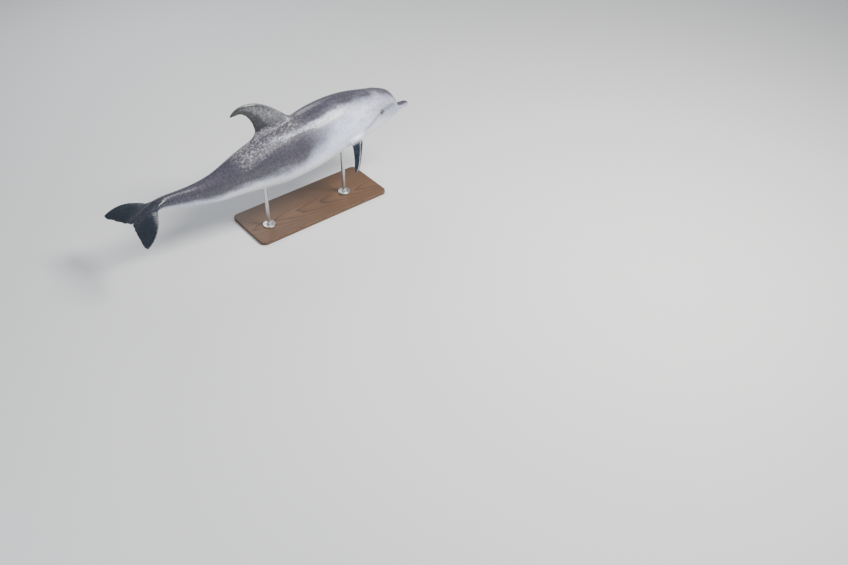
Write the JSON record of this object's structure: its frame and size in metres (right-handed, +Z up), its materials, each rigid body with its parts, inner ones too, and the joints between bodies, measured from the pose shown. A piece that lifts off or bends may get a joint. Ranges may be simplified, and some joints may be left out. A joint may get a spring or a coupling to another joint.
{
  "type": "bottlenose dolphin display model",
  "caption": "Life-size bottlenose dolphin swimming with its back arched, dorsal fin hooked and tail trailing, held over a flat board by steel rods.",
  "frame": {"origin": "centre of the stand's underside, on the floor, below the centre of mass", "axes": "+X the way the dolphin swims, +Y to its left, +Z up"},
  "size_m": [2.682, 0.7323, 1.0817],
  "materials": {
    "skin_back": "smooth wet skin, brownish slate grey of the cape, pale spinal blaze along the flank",
    "skin_flank": "smooth wet skin, paler grey flank fading to an off-white belly",
    "skin_fin": "smooth wet skin, dark slate grey with darker trailing edges and tips",
    "eye": "polished dark brown glass eye",
    "stand_wood": "dark stained board with a satin varnish",
    "stand_steel": "brushed"
  },
  "bodies": {
    "root": {"head": "skin_back", "upper_beak": "skin_back", "lower_jaw": "skin_flank", "trunk": "skin_flank", "tail_stock": "skin_back", "dorsal_fin": "skin_fin", "flipper_left": "skin_fin", "flipper_right": "skin_fin", "fluke_left": "skin_fin", "fluke_right": "skin_fin", "eye_left": "eye", "eye_right": "eye", "stand_base": "stand_wood", "stand_rod_front": "stand_steel", "stand_rod_rear": "stand_steel"}
  },
  "joints": []
}
